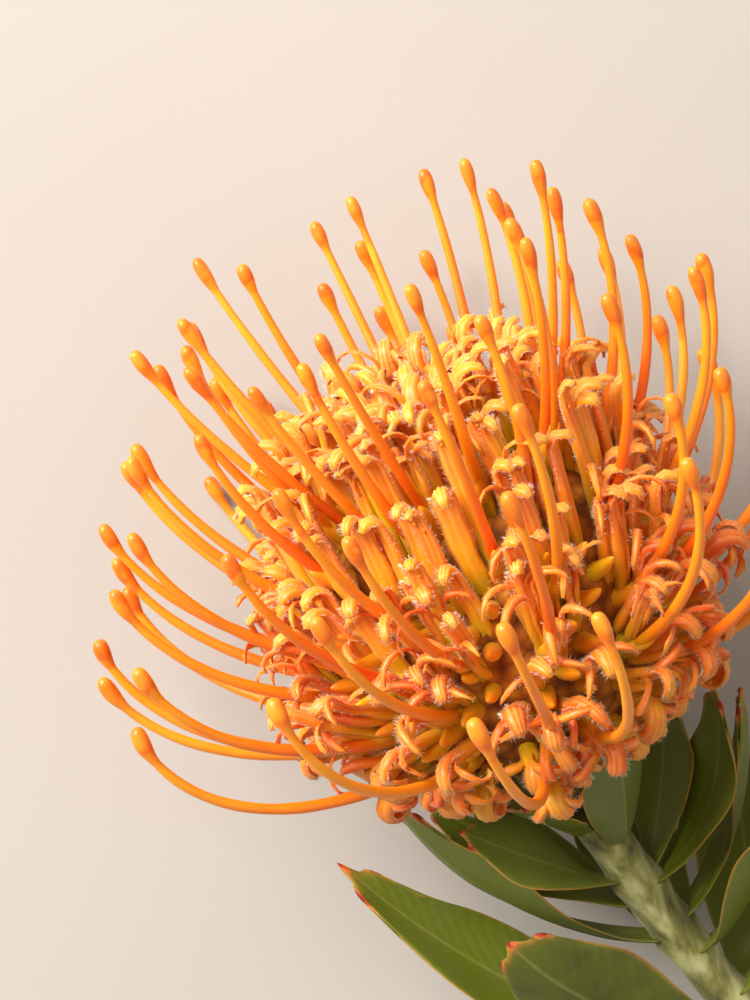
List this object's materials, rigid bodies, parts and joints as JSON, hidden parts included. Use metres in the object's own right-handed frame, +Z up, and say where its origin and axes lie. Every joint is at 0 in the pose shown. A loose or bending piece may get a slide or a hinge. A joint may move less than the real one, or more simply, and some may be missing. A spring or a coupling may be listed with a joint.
{
  "type": "pincushion protea flower",
  "caption": "Cut pincushion flower with long curved styles over a dome of curled straps, on a leafy stem, lying on a flat surface.",
  "frame": {"origin": "on the surface that the flower lies on, under the middle of its box", "axes": "+Z up from the surface; +Y along the flower from the cut end of the stem towards the style tips; +X to the right for someone looking down on it with the head away from them"},
  "size_m": [0.1204, 0.2078, 0.1056],
  "materials": {
    "petals": "waxy orange styles over hairy orange perianth straps",
    "bracts": "downy olive bracts",
    "stem": "downy yellow-green stem with brown leaf scars",
    "leaves": "matt grey-green leaf with red glands at its tip"
  },
  "bodies": {
    "root": {"flower_head": "petals", "involucre": "bracts", "stem": "stem", "leaf_01": "leaves", "leaf_02": "leaves", "leaf_03": "leaves", "leaf_04": "leaves", "leaf_05": "leaves", "leaf_06": "leaves", "leaf_07": "leaves", "leaf_08": "leaves", "leaf_09": "leaves", "leaf_10": "leaves", "leaf_11": "leaves", "leaf_12": "leaves", "leaf_13": "leaves", "leaf_14": "leaves", "leaf_15": "leaves", "leaf_16": "leaves"}
  },
  "joints": []
}
